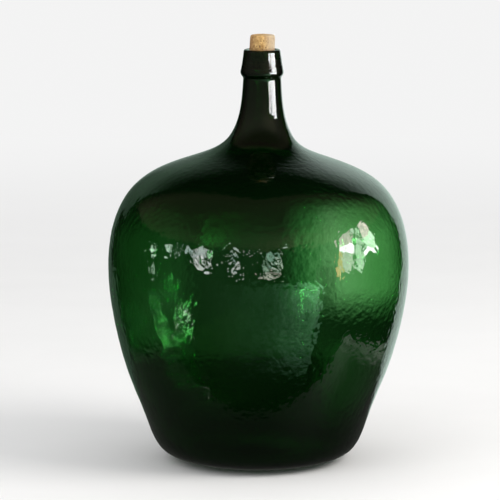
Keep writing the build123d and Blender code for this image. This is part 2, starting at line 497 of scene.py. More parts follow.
def cork_material():
    mat = bpy.data.materials.new("natural_cork")
    nt = nodes_of(mat)
    out = nt.nodes.new("ShaderNodeOutputMaterial")
    bsdf = nt.nodes.new("ShaderNodeBsdfPrincipled")
    geo = nt.nodes.new("ShaderNodeNewGeometry")
    base = nt.nodes.new("ShaderNodeTexNoise")
    base.inputs["Scale"].default_value = 260.0
    base.inputs["Detail"].default_value = 5.0
    nt.links.new(geo.outputs["Position"], base.inputs["Vector"])
    cr = nt.nodes.new("ShaderNodeValToRGB")
    cr.color_ramp.elements[0].position = 0.3
    cr.color_ramp.elements[0].color = (0.30, 0.15, 0.04, 1)
    cr.color_ramp.elements[1].position = 0.68
    cr.color_ramp.elements[1].color = (0.66, 0.43, 0.165, 1)
    nt.links.new(base.outputs["Fac"], cr.inputs["Fac"])
    # Darker brown up the left side and low round the rim of the mouth.
    sep = nt.nodes.new("ShaderNodeSeparateXYZ")
    nt.links.new(geo.outputs["Position"], sep.inputs[0])
    side = ramp(nt, sep.outputs["X"], -0.013, 0.0, invert=True)
    foot = ramp(nt, sep.outputs["Z"], 0.5365, 0.5405, invert=True)
    # Painted light: the right side, towards the key light, is mixed to a pale grey as if washed out.
    painted_light_side = nt.nodes.new("ShaderNodeMix")
    painted_light_side.data_type = "RGBA"
    nt.links.new(mul(nt, ramp(nt, sep.outputs["X"], 0.004, 0.019), 0.75), painted_light_side.inputs["Factor"])
    nt.links.new(cr.outputs[0], painted_light_side.inputs["A"])
    painted_light_side.inputs["B"].default_value = (0.49, 0.41, 0.30, 1)
    darker_brown = math_node(nt, "MAXIMUM", mul(nt, side, 0.65), mul(nt, foot, 0.55))
    m1 = nt.nodes.new("ShaderNodeMix")
    m1.data_type = "RGBA"
    nt.links.new(darker_brown, m1.inputs["Factor"])
    nt.links.new(painted_light_side.outputs["Result"], m1.inputs["A"])
    m1.inputs["B"].default_value = (0.23, 0.10, 0.035, 1)
    at = nt.nodes.new("ShaderNodeAttribute")
    at.attribute_name = "pore"
    m2 = nt.nodes.new("ShaderNodeMix")
    m2.data_type = "RGBA"
    nt.links.new(ramp(nt, at.outputs["Fac"], 0.25, 0.7), m2.inputs["Factor"])
    nt.links.new(m1.outputs["Result"], m2.inputs["A"])
    m2.inputs["B"].default_value = (0.09, 0.04, 0.018, 1)
    nt.links.new(m2.outputs["Result"], bsdf.inputs["Base Color"])
    bsdf.inputs["Roughness"].default_value = 0.82
    rough = nt.nodes.new("ShaderNodeMapRange")
    rough.inputs["To Min"].default_value = 0.72
    rough.inputs["To Max"].default_value = 0.95
    nt.links.new(base.outputs["Fac"], rough.inputs["Value"])
    nt.links.new(rough.outputs[0], bsdf.inputs["Roughness"])
    grain = nt.nodes.new("ShaderNodeTexNoise")
    grain.inputs["Scale"].default_value = 900.0
    grain.inputs["Detail"].default_value = 3.0
    nt.links.new(geo.outputs["Position"], grain.inputs["Vector"])
    bump = nt.nodes.new("ShaderNodeBump")
    bump.inputs["Strength"].default_value = 0.6
    bump.inputs["Distance"].default_value = 0.0003
    nt.links.new(grain.outputs["Fac"], bump.inputs["Height"])
    nt.links.new(bump.outputs["Normal"], bsdf.inputs["Normal"])
    nt.links.new(bsdf.outputs[0], out.inputs["Surface"])
    return mat


cork.data.materials.append(cork_material())
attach(cork, "cork")
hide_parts("cork_stopper")


# ---------------------------------------------------------------------------
# Stage: a pale floor without a horizon. Glass shows what is round it, so the room
# has three faces, told apart by the kind of ray that meets it: plain and pale for
# the camera, a dim room with windows for mirrored rays, and a softly lit wall and
# table for rays that come straight through the glass.
PALE = 0.90
CAM = (-0.00225, -4.914, 1.0445)
AIM = (-0.00225, 0.0, 0.273)
TILT = math.atan2(CAM[2] - AIM[2], -CAM[1])
LENS = 275.5
FOCUS = LENS / 36.0 * 500
CENTRE = (256.7, 251.6)


def add(nt, *xs):
    out = xs[0]
    for x in xs[1:]:
        out = math_node(nt, "ADD", out, x)
    return out


def mixf(nt, f, a, b):
    n = nt.nodes.new("ShaderNodeMix")
    n.data_type = "FLOAT"
    n.clamp_factor = True
    nt.links.new(f, n.inputs["Factor"])
    for s, v in (("A", a), ("B", b)):
        if isinstance(v, (int, float)):
            n.inputs[s].default_value = v
        else:
            nt.links.new(v, n.inputs[s])
    return n.outputs["Result"]


def colour(nt, r, g, b):
    n = nt.nodes.new("ShaderNodeCombineColor")
    for i, v in enumerate((r, g, b)):
        if isinstance(v, (int, float)):
            n.inputs[i].default_value = v
        else:
            nt.links.new(v, n.inputs[i])
    return n.outputs[0]


def tinted(nt, parts):
    """Sum of (brightness, (r, g, b)) parts as one colour."""
    out = []
    for i in range(3):
        c = None
        for lum, tint in parts:
            v = mul(nt, lum, float(tint[i]))
            c = v if c is None else add(nt, c, v)
        out.append(c)
    return colour(nt, *out)


def mix_colour(nt, f, a, b):
    n = nt.nodes.new("ShaderNodeMix")
    n.data_type = "RGBA"
    n.clamp_factor = True
    nt.links.new(f, n.inputs["Factor"])
    for s, v in (("A", a), ("B", b)):
        if isinstance(v, tuple):
            n.inputs[s].default_value = v
        else:
            nt.links.new(v, n.inputs[s])
    return n.outputs["Result"]


def noise_of(nt, vec, scale, detail=2.0, stretch=None, seed=0.0):
    if stretch or seed:
        m = nt.nodes.new("ShaderNodeMapping")
        nt.links.new(vec, m.inputs["Vector"])
        m.inputs["Location"].default_value = (seed, seed * 0.7, seed * 1.3)
        if stretch:
            m.inputs["Scale"].default_value = stretch
        vec = m.outputs[0]
    n = nt.nodes.new("ShaderNodeTexNoise")
    n.inputs["Scale"].default_value = scale
    n.inputs["Detail"].default_value = detail
    nt.links.new(vec, n.inputs["Vector"])
    return n.outputs["Fac"]


def ray_kind(nt):
    lp = nt.nodes.new("ShaderNodeLightPath")
    mirrored = math_node(nt, "GREATER_THAN", lp.outputs["Glossy Depth"], 0.5)
    inner = math_node(nt, "GREATER_THAN", lp.outputs["Transmission Depth"], 0.5)
    through = mul(nt, inner, math_node(nt, "SUBTRACT", 1.0, mirrored))
    return lp, mirrored, through, inner


def screen(nt, x, y, z, far):
    """Where a point, or a direction if far, lies in front of the camera."""
    if not far:
        x = add(nt, x, -CAM[0])
        y = add(nt, y, -CAM[1])
        z = add(nt, z, -CAM[2])
    c, s = math.cos(TILT), math.sin(TILT)
    depth = add(nt, mul(nt, y, c), mul(nt, z, -s))
    depth = math_node(nt, "MAXIMUM", depth, 0.02)
    u = add(nt, math_node(nt, "DIVIDE", mul(nt, x, FOCUS), depth), CENTRE[0])
    v = math_node(nt, "DIVIDE", mul(nt, add(nt, mul(nt, y, s), mul(nt, z, c)), -FOCUS), depth)
    return u, add(nt, v, CENTRE[1])


def leaving(nt, pos, inc):
    """Where a ray left the glass, near enough: a step back along it to a quarter of
    a metre from the axis. Also the height at which its line passes the axis."""
    flat = [math_node(nt, "SQRT", add(nt, mul(nt, p[0], p[0]), mul(nt, p[1], p[1])))
            for p in (pos, inc)]
    run = math_node(nt, "MAXIMUM", flat[1], 0.05)
    t = math_node(nt, "DIVIDE", math_node(nt, "MAXIMUM", add(nt, flat[0], -0.22), 0.0), run)
    q = [add(nt, p, mul(nt, i, t)) for p, i in zip(pos, inc)]
    t0 = math_node(nt, "DIVIDE", flat[0], run)
    return q, add(nt, pos[2], mul(nt, inc[2], t0)), flat[0]


def not_skimming(nt, q, inc):
    """1 for a mirrored ray that the glass turned well round, falling to a little for
    one that only skimmed it, so that a window never eats into the outline."""
    eye = nt.nodes.new("ShaderNodeVectorTransform")
    eye.vector_type, eye.convert_from, eye.convert_to = "POINT", "CAMERA", "WORLD"
    eye.inputs[0].default_value = (0.0, 0.0, 0.0)
    at = nt.nodes.new("ShaderNodeCombineXYZ")
    for i in range(3):
        nt.links.new(q[i], at.inputs[i])
    way = nt.nodes.new("ShaderNodeVectorMath")
    way.operation = "SUBTRACT"
    nt.links.new(at.outputs[0], way.inputs[0])
    nt.links.new(eye.outputs[0], way.inputs[1])
    unit = nt.nodes.new("ShaderNodeVectorMath")
    unit.operation = "NORMALIZE"
    nt.links.new(way.outputs[0], unit.inputs[0])
    turn = nt.nodes.new("ShaderNodeVectorMath")
    turn.operation = "DOT_PRODUCT"
    nt.links.new(unit.outputs[0], turn.inputs[0])
    nt.links.new(inc, turn.inputs[1])
    # the incoming vector points back, so a ray that goes straight on gives -1
    return add(nt, mul(nt, ramp(nt, turn.outputs["Value"], -0.85, -0.32), 0.95), 0.05)


def behind(nt, u, v, dy, r):
    """Brightness of what lies behind the glass: a lit wall to the right, a dim one
    to the left, a dark table edge below and darkness above."""
    right = mul(nt, ramp(nt, u, 277, 356), ramp(nt, v, 176, 238),
                ramp(nt, v, 284, 326, True), 1.08)
    left = mul(nt, ramp(nt, u, 160, 200, True), ramp(nt, v, 196, 236),
               ramp(nt, v, 336, 364, True), 0.10)
    band = mul(nt, ramp(nt, v, 214, 242), ramp(nt, v, 350, 368, True), 0.05)
    low = mul(nt, ramp(nt, u, 312, 345), ramp(nt, v, 335, 365),
              ramp(nt, v, 400, 450, True), 0.10)
    gap = mul(nt, ramp(nt, u, 319, 324), ramp(nt, u, 330, 344, True), ramp(nt, v, 258, 272))
    right = mul(nt, right, add(nt, mul(nt, gap, -0.40), 1.0))
    lum = add(nt, left, band, low, 0.025)
    # For rays that do not head on to the back, the floor seen through the glass is dark round the base and
    # brightens outwards: a painted shadow. The round wall gives an even grey.
    if r is None:
        away = 0.40
    else:
        away = add(nt, mul(nt, ramp(nt, r, 0.3, 1.9), 0.34), 0.06)
    ahead = ramp(nt, dy, 0.30, 0.75)
    cool = ramp(nt, u, 296, 338)
    return tinted(nt, [(mixf(nt, ahead, away, lum), (1.0, 1.0, 1.0)),
                       (mul(nt, ahead, right), (0.75, 1.0, 0.85)),
                       (mul(nt, ahead, right, cool), (0.90, 0.0, 0.60))])


# Painted reflections of thin bright things low on the left, cut into painted glints by a noise pattern and broken
# further by the hammered skin:
# azimuth and elevation of their upper and lower ends, width, light and tint.
STRIPS = [
    (-86.5, -15.9, -84.8, -30.3, 1.6, 2.4, (0.45, 1.0, 0.45)),
    (-65.8, -19.3, -70.4, -30.5, 2.0, 14.0, (0.9, 1.0, 0.85)),
    (-56.4, -18.3, -58.4, -29.6, 2.0, 14.0, (0.9, 1.0, 0.88)),
    (-52.3, -43.1, -59.2, -49.7, 1.8, 14.0, (0.9, 1.0, 0.9)),
]


def room_mirror(nt, x, y, z, inner, floor_xy=None, z0=None):
    """Colour of the room in a mirror, along a direction."""
    d = math.radians
    azs = math_node(nt, "ARCTAN2", x, mul(nt, y, -1.0))
    az = math_node(nt, "ABSOLUTE", azs)
    el = math_node(nt, "ARCSINE", z)
    # bright wall at the back, seen at the very edge of the glass
    hidden = mul(nt, ramp(nt, el, d(-11), d(-7)), ramp(nt, el, d(3), d(8), True), d(14))
    rightward = ramp(nt, x, -0.25, 0.3)
    edge = add(nt, az, mul(nt, hidden, add(nt, mul(nt, rightward, 0.75), -1.0)))
    once = mixf(nt, inner, 1.0, 0.22)
    back = mul(nt, ramp(nt, edge, d(139), d(142.5)), ramp(nt, el, d(20), d(47), True),
               ramp(nt, el, d(-50), d(-18)), once)
    back_l = mul(nt, back, math_node(nt, "SUBTRACT", 1.0, rightward),
                 add(nt, mul(nt, ramp(nt, el, d(5), d(25)), 0.10), 0.12))
    back_r = mul(nt, back, rightward, 1.0)
    # ceiling, warm and brightest towards the window
    lit = add(nt, mul(nt, ramp(nt, azs, d(-12), d(36)), ramp(nt, azs, d(58), d(80), True), 0.30), 0.045)
    start = ramp(nt, el, d(18.2), d(19.2))
    if z0 is not None:
        # the narrowing neck sees the wall fade into the ceiling
        start = mixf(nt, ramp(nt, z0, 0.375, 0.40), start, ramp(nt, el, d(-12), d(36)))
    ceiling = mul(nt, start, ramp(nt, az, d(120), d(140), True),
                  add(nt, mul(nt, lit, ramp(nt, el, d(19), d(43), True)), 0.082))
    # a teal cloth or door, low and to the right of the viewer
    way = nt.nodes.new("ShaderNodeCombineXYZ")
    for i, o in enumerate((x, y, z)):
        nt.links.new(o, way.inputs[i])
    mottle = ramp(nt, noise_of(nt, way.outputs[0], 13.0, 3.0), 0.34, 0.62)
    teal = mul(nt, add(nt, mul(nt, mottle, 0.8), 0.45), ramp(nt, azs, d(-46), d(28)), ramp(nt, azs, d(48.6), d(49.8), True),
               ramp(nt, el, d(-8.2), d(-7.2), True), ramp(nt, el, d(-44), d(-30)),
               add(nt, mul(nt, ramp(nt, azs, d(4), d(44)), 0.9), 0.35,
                   mul(nt, ramp(nt, azs, d(20), d(52)), ramp(nt, el, d(-24), d(-6)), 4.6)))
    # painted glints: a thresholded noise cuts the strips into bright flecks
    broken = ramp(nt, noise_of(nt, way.outputs[0], 20.0, 1.0, None, 5.0), 0.53, 0.575)
    strips = []
    for a0, e0, a1, e1, width, light, tint in STRIPS:
        slope = (a1 - a0) / (e1 - e0)
        off = add(nt, azs, mul(nt, el, -slope), d(-a0 + slope * e0))
        strips.append((mul(nt, ramp(nt, math_node(nt, "ABSOLUTE", off), d(width * 0.35), d(width * 0.75), True),
                           ramp(nt, el, d(e1), d(e1 + 1.5)), ramp(nt, el, d(e0 - 1.5), d(e0), True),
                           math_node(nt, "SUBTRACT", 1.0, inner), mul(nt, broken, light)), tint))
    parts = strips + [(back_l, (0.60, 1.0, 0.70)), (back_r, (0.80, 1.0, 0.90)), (ceiling, (1.0, 0.86, 0.56)),
             (teal, (0.42, 1.0, 0.55))]
    out = tinted(nt, parts + [(mul(nt, x, 0.0), (1, 1, 1))])
    n = nt.nodes.new("ShaderNodeMix")
    n.data_type = "RGBA"
    n.blend_type = "ADD"
    n.inputs["Factor"].default_value = 1.0
    nt.links.new(out, n.inputs["A"])
    n.inputs["B"].default_value = (0.008, 0.009, 0.008, 1)
    out = n.outputs["Result"]
    if z0 is not None:
        # the slim neck also catches the paler upper part of the room
        haze = mul(nt, ramp(nt, z0, 0.385, 0.43), ramp(nt, az, d(70), d(125), True), 0.13)
        n = nt.nodes.new("ShaderNodeMix")
        n.data_type = "RGBA"
        n.blend_type = "ADD"
        n.inputs["Factor"].default_value = 1.0
        nt.links.new(out, n.inputs["A"])
        nt.links.new(tinted(nt, [(haze, (1.0, 1.0, 0.86))]), n.inputs["B"])
        out = n.outputs["Result"]
    if floor_xy is not None:
        fx, fy = floor_xy
        table = mul(nt, ramp(nt, math_node(nt, "ABSOLUTE", fx), 0.466, 0.470, True),
                    ramp(nt, fy, -0.222, -0.218), ramp(nt, fy, 0.16, 0.30, True))
        sheen = add(nt, mul(nt, ramp(nt, fx, 0.36, 0.463), 0.42),
                    mul(nt, ramp(nt, fx, 0.0, 0.42), ramp(nt, fy, -0.21, -0.10, True), 0.30), 0.062)
        out = mix_colour(nt, table, out, tinted(nt, [(sheen, (1.0, 1.06, 0.95))]))
    return out


def build_world():
    w = bpy.data.worlds.new("studio")
    bpy.context.scene.world = w
    w.use_nodes = True
    nt = w.node_tree
    nt.nodes.clear()
    out = nt.nodes.new("ShaderNodeOutputWorld")
    bg = nt.nodes.new("ShaderNodeBackground")
    tc = nt.nodes.new("ShaderNodeTexCoord")
    sep = nt.nodes.new("ShaderNodeSeparateXYZ")
    nt.links.new(tc.outputs["Generated"], sep.inputs[0])
    x, y, z = sep.outputs
    lp, mirrored, through, inner = ray_kind(nt)
    away = mixf(nt, ramp(nt, y, 0.3, 0.75), 0.40, 0.04)
    plain = add(nt, mul(nt, x, 0.0), 0.85)
    col = colour(nt, plain, plain, plain)
    col = mix_colour(nt, through, col, colour(nt, away, away, away))
    col = mix_colour(nt, mirrored, col, room_mirror(nt, x, y, z, inner))
    col = mix_colour(nt, lp.outputs["Is Diffuse Ray"], col, (0.85, 0.85, 0.85, 1))
    col = mix_colour(nt, lp.outputs["Is Camera Ray"], col, (PALE, PALE, PALE, 1))
    nt.links.new(col, bg.inputs["Color"])
    nt.links.new(bg.outputs[0], out.inputs["Surface"])


build_world()


def build_floor():
    seg, radii = 128, [0.0, 0.15, 0.4, 0.8, 1.4, 2.2, 3.2, 4.4, 5.6]
    verts, faces = [(0, 0, -0.0004)], []
    for r in radii[1:]:
        for j in range(seg):
            a = j * TAU / seg
            verts.append((r * math.cos(a), r * math.sin(a), -0.0004))
    for j in range(seg):
        faces.append((0, 1 + j, 1 + (j + 1) % seg))
    for k in range(len(radii) - 2):
        for j in range(seg):
            a, b = 1 + k * seg, 1 + (k + 1) * seg
            faces.append((a + j, b + j, b + (j + 1) % seg, a + (j + 1) % seg))
    ob = mesh_object("floor", verts, faces)
    mat = bpy.data.materials.new("pale_floor")
    nt = nodes_of(mat)
    out = nt.nodes.new("ShaderNodeOutputMaterial")
    geo = nt.nodes.new("ShaderNodeNewGeometry")
    sep = nt.nodes.new("ShaderNodeSeparateXYZ")
    nt.links.new(geo.outputs["Position"], sep.inputs[0])
    inc = nt.nodes.new("ShaderNodeSeparateXYZ")
    nt.links.new(geo.outputs["Incoming"], inc.inputs[0])
    dx, dy, dz = [mul(nt, o, -1.0) for o in inc.outputs]
    x, y, z = sep.outputs
    lp, mirrored, through, inner = ray_kind(nt)
    dif = nt.nodes.new("ShaderNodeBsdfDiffuse")
    grit = nt.nodes.new("ShaderNodeTexNoise")
    grit.inputs["Scale"].default_value = 6.0
    grit.inputs["Detail"].default_value = 4.0
    nt.links.new(geo.outputs["Position"], grit.inputs["Vector"])
    tone = nt.nodes.new("ShaderNodeMapRange")
    tone.inputs["To Min"].default_value = 0.81
    tone.inputs["To Max"].default_value = 0.85
    nt.links.new(grit.outputs["Fac"], tone.inputs["Value"])
    nt.links.new(colour(nt, tone.outputs[0], tone.outputs[0], tone.outputs[0]),
                 dif.inputs["Color"])
    rr = math_node(nt, "SQRT", add(nt, mul(nt, x, x), mul(nt, y, y)))
    haze = ramp(nt, rr, 1.2, 3.4)

    def emit(col):
        e = nt.nodes.new("ShaderNodeEmission")
        if isinstance(col, tuple):
            e.inputs["Color"].default_value = col
        else:
            nt.links.new(col, e.inputs["Color"])
        return e.outputs[0]

    def shade(f, a, b):
        n = nt.nodes.new("ShaderNodeMixShader")
        nt.links.new(f, n.inputs[0])
        nt.links.new(a, n.inputs[1])
        nt.links.new(b, n.inputs[2])
        return n.outputs[0]

    q, z0, _ = leaving(nt, (x, y, z), inc.outputs)
    u, v = screen(nt, *q, False)
    lum = behind(nt, u, v, dy, rr)
    s = shade(haze, dif.outputs[0], emit((PALE, PALE, PALE, 1)))
    s = shade(through, s, emit(lum))
    s = shade(mirrored, s, emit(room_mirror(nt, dx, dy, dz, inner, (x, y), z0)))
    nt.links.new(s, out.inputs["Surface"])
    ob.data.materials.append(mat)
    return ob


floor = build_floor()


def build_wall():
    """A round wall past the floor's edge. Only the glass sees it: it is the room
    above the floor, and it knows from which part of the glass it is looked at."""
    seg, rad, heights = 96, 5.55, [-0.01, 1.0, 2.5, 5.0, 8.0]
    verts = [(rad * math.cos(j * TAU / seg), rad * math.sin(j * TAU / seg), h)
             for h in heights for j in range(seg)]
    faces = [(k * seg + j, (k + 1) * seg + j, (k + 1) * seg + (j + 1) % seg, k * seg + (j + 1) % seg)
             for k in range(len(heights) - 1) for j in range(seg)]
    ob = mesh_object("room_wall", verts, faces)
    mat = bpy.data.materials.new("room_wall")
    nt = nodes_of(mat)
    out = nt.nodes.new("ShaderNodeOutputMaterial")
    geo = nt.nodes.new("ShaderNodeNewGeometry")
    pos = nt.nodes.new("ShaderNodeSeparateXYZ")
    nt.links.new(geo.outputs["Position"], pos.inputs[0])
    inc = nt.nodes.new("ShaderNodeSeparateXYZ")
    nt.links.new(geo.outputs["Incoming"], inc.inputs[0])
    dx, dy, dz = [mul(nt, o, -1.0) for o in inc.outputs]
    lp, mirrored, through, inner = ray_kind(nt)
    q, z0, _ = leaving(nt, pos.outputs, inc.outputs)
    u, v = screen(nt, *q, False)
    lum = behind(nt, u, v, dy, None)
    col = mix_colour(nt, mirrored, lum, room_mirror(nt, dx, dy, dz, inner, None, z0))
    em = nt.nodes.new("ShaderNodeEmission")
    nt.links.new(col, em.inputs["Color"])
    nt.links.new(em.outputs[0], out.inputs["Surface"])
    ob.data.materials.append(mat)
    ob.visible_camera = False
    ob.visible_diffuse = False
    ob.visible_shadow = False
    return ob


wall = build_wall()


def card(name, az0, az1, el0, el1, dist, strength, tint, look, part="body", inner_gain=0.35):
    """An upright glowing card that fills a patch of the room, as seen from the
    belly. Only mirrored rays see it; part says which end of the glass it lights."""
    mid = math.radians((az0 + az1) / 2)
    half = math.radians((az1 - az0) / 2)
    base = 0.30 if part == "body" else 0.49
    c = Vector((math.sin(mid) * dist, -math.cos(mid) * dist, base))
    side = Vector((math.cos(mid), math.sin(mid), 0)) * math.tan(half) * dist
    lo = math.tan(math.radians(el0)) * dist
    hi = math.tan(math.radians(el1)) * dist
    up = Vector((0, 0, 1))
    pts = [c - side + up * lo, c + side + up * lo, c + side + up * hi, c - side + up * hi]
    ob = mesh_object(name, [tuple(p) for p in pts], [(0, 1, 2, 3)], False)
    uvs = ob.data.uv_layers.new(name="place")
    for loop, uv in zip(uvs.data, [(0, 0), (1, 0), (1, 1), (0, 1)]):
        loop.uv = uv
    mat = bpy.data.materials.new(name)
    nt = nodes_of(mat)
    out = nt.nodes.new("ShaderNodeOutputMaterial")
    em = nt.nodes.new("ShaderNodeEmission")
    geo = nt.nodes.new("ShaderNodeNewGeometry")
    pos = nt.nodes.new("ShaderNodeSeparateXYZ")
    nt.links.new(geo.outputs["Position"], pos.inputs[0])
    inc = nt.nodes.new("ShaderNodeSeparateXYZ")
    nt.links.new(geo.outputs["Incoming"], inc.inputs[0])
    q, _, _ = leaving(nt, pos.outputs, inc.outputs)
    lp, mirrored, through, inner = ray_kind(nt)
    where = ramp(nt, q[2], 0.40, 0.42, part == "body")
    gain = mul(nt, mixf(nt, inner, 1.0, inner_gain),
               not_skimming(nt, q, geo.outputs["Incoming"]))
    place = nt.nodes.new("ShaderNodeTexCoord")
    st = nt.nodes.new("ShaderNodeSeparateXYZ")
    nt.links.new(place.outputs["UV"], st.inputs[0])
    lum, col = look(nt, st.outputs[0], st.outputs[1], geo.outputs["Position"])
    nt.links.new(mul(nt, lum, gain, float(strength)), em.inputs["Strength"])
    if col is None:
        em.inputs["Color"].default_value = (*tint, 1)
    else:
        nt.links.new(col, em.inputs["Color"])
    clear = nt.nodes.new("ShaderNodeBsdfTransparent")
    both = nt.nodes.new("ShaderNodeMixShader")
    nt.links.new(mul(nt, mirrored, where), both.inputs[0])
    nt.links.new(clear.outputs[0], both.inputs[1])
    nt.links.new(em.outputs[0], both.inputs[2])
    nt.links.new(both.outputs[0], out.inputs["Surface"])
    ob.data.materials.append(mat)
    ob.visible_camera = False
    ob.visible_diffuse = False
    ob.visible_shadow = False
    return ob


# Windows of the room: the light of each pane, then its corners as seen from the
# belly, (azimuth from the front towards the right, elevation) in degrees. A large
# curtained window on the right, and a row of far, broken-up ones across the front.
PANES = [
    ((7.3, 4.8, 5.8), [(64.4, 19.6), (69.2, 23.1), (76.8, 21.6), (75.3, 10.4), (62.0, 13.3)]),
    ((21, 18, 21), [(62.2, 13.7), (69.2, 12.5), (71.7, 13.9), (75.8, 11.8), (74.6, 5.5), (70.4, 7.5), (66.3, 9.2), (61.5, 11.5)]),
    ((5.9, 5.6, 5.4), [(63.6, 9.4), (74.6, 5.5), (72.2, -4.1), (61.7, -3.0)]),
    ((9, 10, 9), [(67.1, 5.6), (69.8, 5.2), (68.6, -2.7), (65.6, -1.2)]),
    ((8, 4.6, 1.9), [(60.6, 11.3), (63.4, 8.7), (61.7, -3.0), (60.5, -9.2), (58.8, -1.6)]),
    ((6, 6.5, 6), [(77.8, 22.3), (80.4, 24.2), (82.1, 22.6), (78.7, 15.7), (76.4, 13.1)]),
    ((5.9, 7.4, 5.9), [(84.4, 21.8), (86.9, 21.8), (83.8, 8.5), (82.3, -5.3), (75.0, -3.4), (76.9, 7.5)]),
    ((17, 17, 16), [(77.1, 3.9), (79.0, 3.6), (79.0, -2.4), (76.6, -2.1)]),
    ((9.8, 7.6, 7.8), [(89.6, 22.5), (98.4, 23.8), (98.7, 14.8), (88.7, 13.5), (85.5, 12.2)]),
    ((8.4, 11.5, 8.4), [(85.5, 12.2), (88.7, 13.5), (98.7, 14.8), (98.0, 7.4), (98.1, 4.0), (86.5, 7.2)]),
    ((21, 19, 21), [(85.8, 7.4), (96.3, 5.5), (98.9, 1.4), (96.4, 1.1), (93.0, 3.3), (89.1, 3.8), (86.1, 2.8), (84.5, 3.1)]),
    ((4, 5, 4), [(84.4, 2.6), (85.2, -0.7), (82.8, -4.8), (82.9, -0.3)]),
    ((7.9, 12.2, 8.6), [(-88.2, 7.4), (-87.2, 8.9), (-84.6, 9.3), (-82.5, 8.1), (-82.9, 6.5), (-82.6, 4.0), (-84.7, 3.9), (-86.0, 6.1)]),
    ((7.2, 10.8, 7.9), [(-82.2, -0.2), (-81.2, -0.1), (-82.4, -2.3), (-82.7, -4.8), (-80.2, -6.5), (-82.7, -7.0), (-84.8, -5.1), (-83.9, -2.5)]),
    ((6.5, 9.4, 7.2), [(-77.5, 11.3), (-76.1, 11.7), (-74.5, 8.6), (-76.1, 8.9)]),
    ((6.5, 9.4, 7.2), [(-74.5, 11.3), (-73.3, 12.0), (-71.4, 7.9), (-72.9, 8.3)]),
    ((7.9, 10.8, 8.6), [(-72.1, 12.6), (-70.0, 12.4), (-67.6, 8.0), (-69.6, 6.7)]),
    ((6.5, 9.4, 7.2), [(-68.4, 12.0), (-66.2, 11.0), (-66.0, 8.6), (-67.6, 9.3)]),
    ((6.5, 8.6, 7.2), [(-61.6, 10.4), (-59.0, 10.9), (-58.8, 9.9), (-61.3, 9.5)]),
    ((5.8, 7.9, 7.2), [(-57.0, 11.3), (-53.0, 12.3), (-49.3, 11.0), (-49.8, 9.5), (-53.2, 9.7)]),
    ((6.2, 6.8, 6.8), [(-51.2, 12.2), (-48.4, 14.2), (-43.3, 13.4), (-42.1, 15.6), (-38.2, 15.8), (-35.9, 12.0), (-36.8, 9.8), (-40.2, 9.4), (-43.5, 10.4), (-46.8, 10.7), (-48.8, 8.3)]),
    ((6.2, 6.8, 6.2), [(-50.3, 7.5), (-48.8, 8.3), (-47.4, 4.6), (-45.7, 2.9), (-47.2, 2.7), (-49.0, 4.4)]),
    ((13, 13, 13), [(-45.8, 9.4), (-40.9, 9.0), (-39.1, 6.8), (-41.2, 4.6), (-43.7, 6.3), (-45.5, 7.4)]),
    ((5.6, 6.2, 5.6), [(-38.0, 10.3), (-36.2, 11.3), (-35.8, 4.5), (-37.4, 5.0)]),
    ((11.8, 12.4, 11.8), [(-45.1, 4.8), (-42.6, 3.8), (-39.5, 2.8), (-36.6, 4.4), (-35.7, 2.5), (-38.6, 1.0), (-42.4, 1.0), (-44.9, 2.3)]),
    ((10.5, 11.2, 10.5), [(-35.8, 3.8), (-32.6, 1.5), (-33.3, 0.8), (-35.3, 1.9)]),
    ((3.1, 3.7, 3.1), [(-24.7, 10.1), (-23.5, 8.8), (-24.0, 6.0), (-25.1, 5.9), (-24.2, 8.1)]),
    ((8.1, 9.3, 8.7), [(-22.4, 17.0), (-19.7, 16.8), (-17.4, 15.7), (-16.5, 13.7), (-19.4, 13.5)]),
    ((5, 6.8, 6.2), [(-19.0, 12.7), (-17.2, 12.8), (-16.5, 7.1), (-17.4, 5.0), (-18.3, 7.0)]),
    ((6.2, 7.4, 6.8), [(-16.4, 12.1), (-14.9, 11.4), (-14.4, 9.3), (-16.2, 9.9)]),
    ((9.3, 9.9, 9.3), [(-20.2, 0.9), (-18.1, 3.3), (-14.6, 5.1), (-13.5, 3.8), (-17.3, 1.0), (-14.4, -0.2), (-12.3, -0.5), (-12.7, -1.4), (-16.6, -1.6), (-20.2, -0.4)]),
    ((6.8, 6.8, 6.8), [(-7.7, 14.4), (-5.8, 14.5), (-5.8, 13.3), (-7.6, 13.2)]),
    ((5, 5, 5), [(-6.0, 6.5), (-4.6, 6.5), (-4.6, 5.5), (-6.0, 5.5)]),
    ((9.3, 9.3, 9.3), [(-2.4, -2.6), (-1.0, -2.9), (-1.4, -3.8), (-2.4, -3.5)]),
    ((6.8, 8.1, 6.8), [(1.5, 16.6), (4.1, 16.6), (3.3, 15.3), (1.9, 15.3)]),
    ((2.8, 5, 3.7), [(5.5, 12.5), (8.5, 14.8), (12.1, 13.9), (14.1, 10.7), (12.6, 7.9), (9.7, 7.3), (6.9, 10.2)]),
    ((3.1, 5, 3.5), [(4.0, 11.0), (5.8, 11.0), (6.8, 7.4), (6.0, 2.0), (6.4, -0.3), (3.5, -0.3), (4.3, 5.4)]),
    ((7.4, 9.3, 7.4), [(14.5, 10.7), (15.9, 9.9), (14.6, 3.1), (14.5, -0.2), (12.7, 0.5), (13.2, 4.5)]),
    ((3.1, 4.3, 3.4), [(8.2, 6.0), (10.0, 5.9), (10.6, 1.2), (8.1, 0.6)]),
    ((6.8, 5.6, 5.3), [(2.1, -0.4), (13.8, -0.5), (14.1, -1.6), (2.5, -1.5)]),
    ((8.1, 8.7, 7.1), [(2.5, -2.6), (14.1, -2.3), (14.1, -4.0), (2.5, -3.8)]),
    ((6.2, 8.1, 6.8), [(17.1, 16.5), (20.2, 16.9), (20.1, 15.9), (17.1, 15.6)]),
    ((2.5, 4.3, 2.5), [(16.6, -1.2), (17.7, -1.9), (17.3, -3.5), (16.6, -2.8)]),
]
